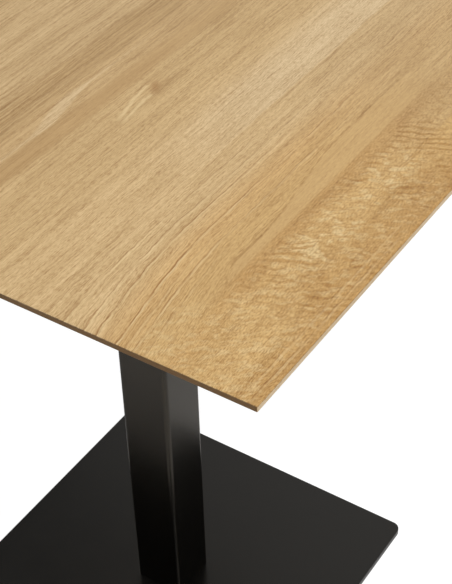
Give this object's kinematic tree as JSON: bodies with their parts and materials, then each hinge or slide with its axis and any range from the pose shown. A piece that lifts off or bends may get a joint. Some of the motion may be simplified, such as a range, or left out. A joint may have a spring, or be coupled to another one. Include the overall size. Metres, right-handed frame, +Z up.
{
  "type": "square bistro table",
  "caption": "Square bistro table: thin-edged oak top on a square black steel column with a flat square base plate and levelling feet.",
  "frame": {"origin": "on the floor, under the middle of the column", "axes": "+Z up through the column; -Y the front, +X the right; the veneer's grain runs along Y"},
  "size_m": [0.69, 0.69, 0.75],
  "materials": {
    "oak_face": "matt lacquered oak veneer",
    "oak_edge": "matt lacquered solid oak",
    "core_board": "sanded fibreboard, clear sealed",
    "oak_backing": "matt oak backing veneer",
    "brass": "turned",
    "black_steel": "satin black powder coat, fine texture",
    "bare_steel": "hot-rolled, oiled",
    "zinc_steel": "bright zinc plated",
    "black_nylon": "moulded nylon",
    "black_rubber": "soft thermoplastic rubber"
  },
  "bodies": {
    "table": {"face_veneer": "oak_face", "core_board": "core_board", "backing_veneer": "oak_backing", "threaded_inserts": "brass", "mounting_plate": "black_steel", "fixing_washers": "zinc_steel", "fixing_screws": "zinc_steel", "column_tube": "black_steel", "head_plate": "bare_steel", "foot_plate": "bare_steel", "head_screws": "zinc_steel", "base_screws": "zinc_steel", "base_plate": "black_steel", "edge_lipping_front": "oak_edge", "edge_lipping_right": "oak_edge", "edge_lipping_back": "oak_edge", "edge_lipping_left": "oak_edge"},
    "cap_front_left": {"foot_cap_front_left": "black_rubber"},
    "stud_front_left": {"foot_stud_front_left": "zinc_steel", "grip_ring_front_left": "black_nylon"},
    "cap_front_right": {"foot_cap_front_right": "black_rubber"},
    "stud_front_right": {"foot_stud_front_right": "zinc_steel", "grip_ring_front_right": "black_nylon"},
    "cap_back_right": {"foot_cap_back_right": "black_rubber"},
    "stud_back_right": {"foot_stud_back_right": "zinc_steel", "grip_ring_back_right": "black_nylon"},
    "cap_back_left": {"foot_cap_back_left": "black_rubber"},
    "stud_back_left": {"foot_stud_back_left": "zinc_steel", "grip_ring_back_left": "black_nylon"}
  },
  "joints": [
    {"name": "foot_travel_front_left", "type": "slide", "parent": "table", "child": "cap_front_left", "axis": [0, 0, -1], "range_m": [0, 0.00251]},
    {"name": "foot_turn_front_left", "type": "hinge", "parent": "cap_front_left", "child": "stud_front_left", "pos_m": [-0.165, -0.165, 0.006], "axis": [0, 0, -1], "range_deg": [0, 720]},
    {"name": "foot_travel_front_right", "type": "slide", "parent": "table", "child": "cap_front_right", "axis": [0, 0, -1], "range_m": [0, 0.00251]},
    {"name": "foot_turn_front_right", "type": "hinge", "parent": "cap_front_right", "child": "stud_front_right", "pos_m": [0.165, -0.165, 0.006], "axis": [0, 0, -1], "range_deg": [0, 720]},
    {"name": "foot_travel_back_right", "type": "slide", "parent": "table", "child": "cap_back_right", "axis": [0, 0, -1], "range_m": [0, 0.00251]},
    {"name": "foot_turn_back_right", "type": "hinge", "parent": "cap_back_right", "child": "stud_back_right", "pos_m": [0.165, 0.165, 0.006], "axis": [0, 0, -1], "range_deg": [0, 720]},
    {"name": "foot_travel_back_left", "type": "slide", "parent": "table", "child": "cap_back_left", "axis": [0, 0, -1], "range_m": [0, 0.00251]},
    {"name": "foot_turn_back_left", "type": "hinge", "parent": "cap_back_left", "child": "stud_back_left", "pos_m": [-0.165, 0.165, 0.006], "axis": [0, 0, -1], "range_deg": [0, 720]}
  ],
  "couplings": [
    {"joint": "foot_travel_front_left", "follows": "foot_turn_front_left", "m_per_rad": 0.00019894},
    {"joint": "foot_travel_front_right", "follows": "foot_turn_front_right", "m_per_rad": 0.00019894},
    {"joint": "foot_travel_back_right", "follows": "foot_turn_back_right", "m_per_rad": 0.00019894},
    {"joint": "foot_travel_back_left", "follows": "foot_turn_back_left", "m_per_rad": 0.00019894}
  ]
}
